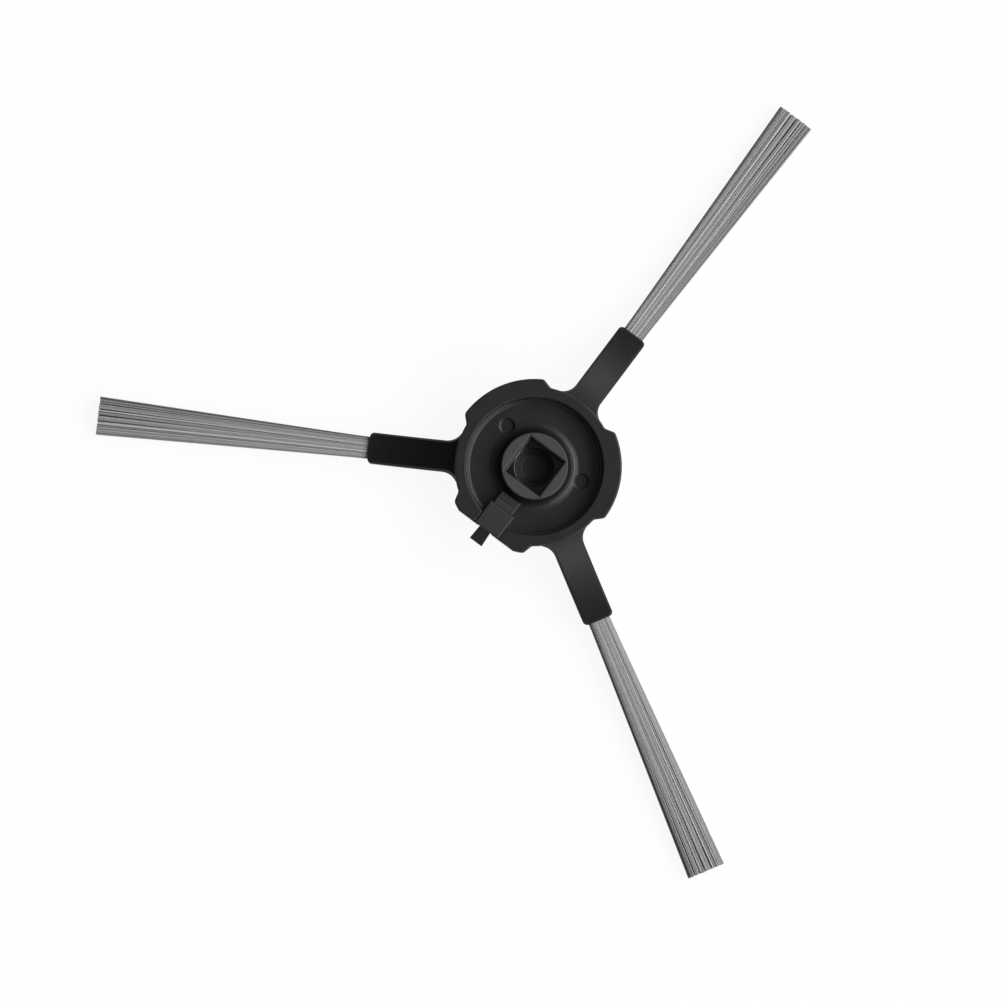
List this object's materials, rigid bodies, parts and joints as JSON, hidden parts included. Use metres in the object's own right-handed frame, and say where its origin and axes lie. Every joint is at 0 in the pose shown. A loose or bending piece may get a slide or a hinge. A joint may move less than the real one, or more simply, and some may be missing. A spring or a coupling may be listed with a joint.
{
  "type": "robot vacuum side brush",
  "caption": "Robot vacuum side brush with a black lobed hub, soft curved arms and straight grey bristle tufts, driven through a square socket.",
  "frame": {"origin": "middle of the drive socket's mouth, on the boss's end face and on the axis that the brush spins about", "axes": "+Z along the spin axis, out of the socket; +X along the arm opposite the catch"},
  "size_m": [0.1196, 0.138, 0.0108],
  "materials": {
    "hub_plastic": "satin",
    "arm_rubber": "matte",
    "bristle_nylon": "satin",
    "catch_plastic": "satin"
  },
  "bodies": {
    "root": {"hub": "hub_plastic", "arm_1": "arm_rubber", "arm_2": "arm_rubber", "arm_3": "arm_rubber", "tuft_1": "bristle_nylon", "tuft_2": "bristle_nylon", "tuft_3": "bristle_nylon", "catch": "catch_plastic"}
  },
  "joints": []
}
